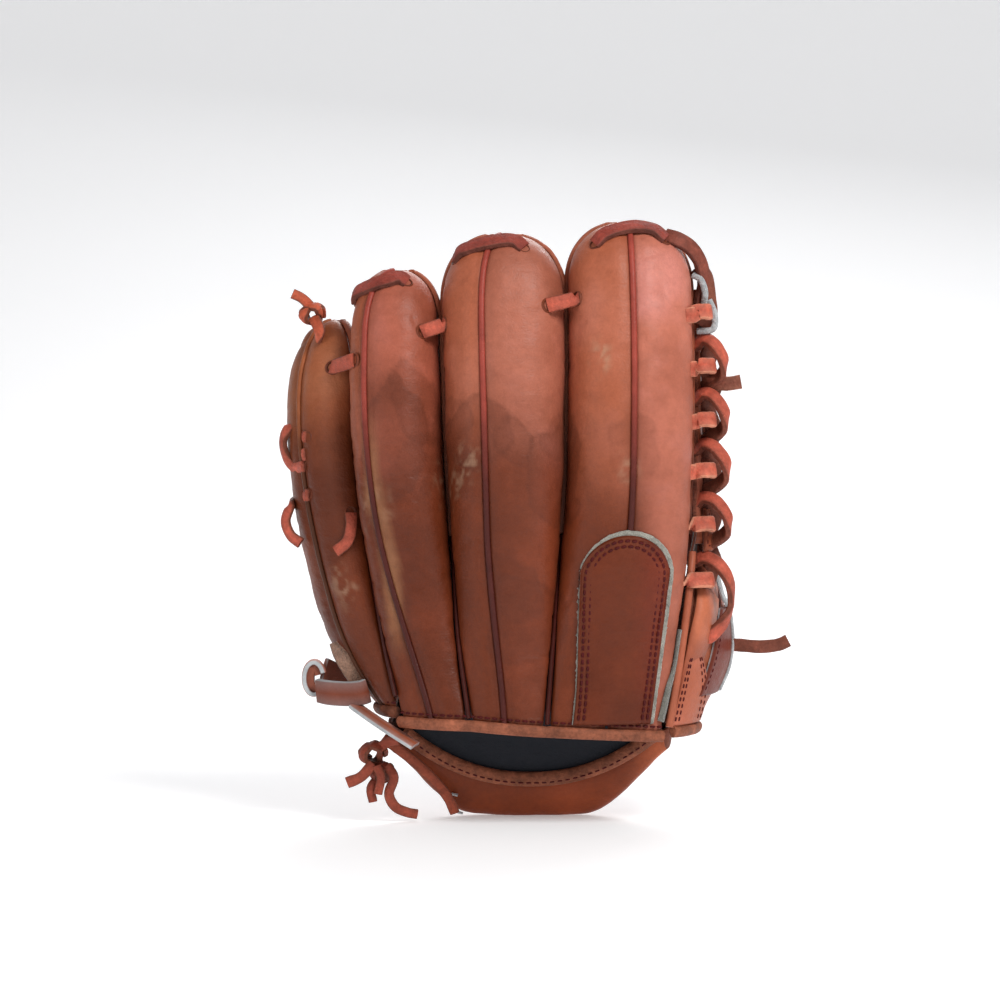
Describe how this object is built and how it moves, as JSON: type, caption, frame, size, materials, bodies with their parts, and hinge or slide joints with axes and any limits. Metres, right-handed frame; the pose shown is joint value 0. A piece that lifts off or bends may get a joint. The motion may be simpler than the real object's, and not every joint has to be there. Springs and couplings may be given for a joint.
{
  "type": "baseball glove",
  "caption": "Leather fielding glove for the left hand with separate finger stalls, a laced web, a padded heel and an open wrist; thumb side and little finger side fold.",
  "frame": {"origin": "on the resting plane, at the middle of the heel's sole", "axes": "+Z from the heel to the fingertips; the back of the hand faces -Y and the palm +Y; the thumb and web are at +X"},
  "size_m": [0.2575, 0.1351, 0.3045],
  "materials": {
    "leather": "satin",
    "welt": "satin",
    "binding": "satin",
    "lace": "satin",
    "padding": "matte",
    "felt": "matte",
    "lining": "matte",
    "stay": "matte"
  },
  "bodies": {
    "hand": {"back_liner": "lining", "finger_hood": "leather", "finger_hood_felt": "felt", "heel_binding": "binding", "heel_knot": "lace", "heel_lace": "lace", "heel_pad": "padding", "index_back_left": "leather", "index_back_right": "leather", "index_padding": "padding", "index_ridge_welt": "welt", "index_tip_lace": "lace", "lace_middle_index": "lace", "lace_ring_middle": "lace", "middle_back_left": "leather", "middle_back_right": "leather", "middle_padding": "padding", "middle_ridge_welt": "welt", "middle_tip_lace": "lace", "palm_liner": "lining", "palm_padding": "padding", "palm_shell": "leather", "ring_back_left": "leather", "ring_back_right": "leather", "ring_padding": "padding", "ring_ridge_welt": "welt", "ring_tip_lace": "lace", "seam_welt_little_ring": "welt", "seam_welt_middle_index": "welt", "seam_welt_ring_middle": "welt", "web_index_lace": "lace", "wrist_binding": "binding"},
    "thumb": {"thumb_back_left": "leather", "thumb_back_right": "leather", "thumb_front": "leather", "thumb_heel_flap": "leather", "thumb_lace_tail": "lace", "thumb_overlay": "leather", "thumb_padding": "padding", "thumb_ridge_welt": "welt", "thumb_side_binding": "binding", "thumb_stay": "stay", "web_base": "leather", "web_crossbar": "leather", "web_panel": "leather", "web_post": "leather", "web_thumb_lace": "lace"},
    "little": {"little_back_left": "leather", "little_back_right": "leather", "little_front": "leather", "little_padding": "padding", "little_ridge_welt": "welt", "little_side_binding": "binding", "little_side_lace": "lace", "little_stay": "stay", "little_tip_knot": "lace", "strap_keeper": "binding"},
    "strap": {"wrist_strap": "leather"}
  },
  "joints": [
    {"name": "thumb_fold", "type": "hinge", "parent": "hand", "child": "thumb", "pos_m": [0.07, -0.052, 0.048], "axis": [0.0842, 0.0982, 0.9916], "range_deg": [-30, 7]},
    {"name": "little_finger_fold", "type": "hinge", "parent": "hand", "child": "little", "pos_m": [-0.066, -0.049, 0.055], "axis": [-0.126, 0.152, 0.9803], "range_deg": [-6, 16]},
    {"name": "wrist_strap_slide", "type": "slide", "parent": "little", "child": "strap", "axis": [-0.6256, -0.7593, 0.179], "range_m": [-0.002, 0.005]}
  ]
}
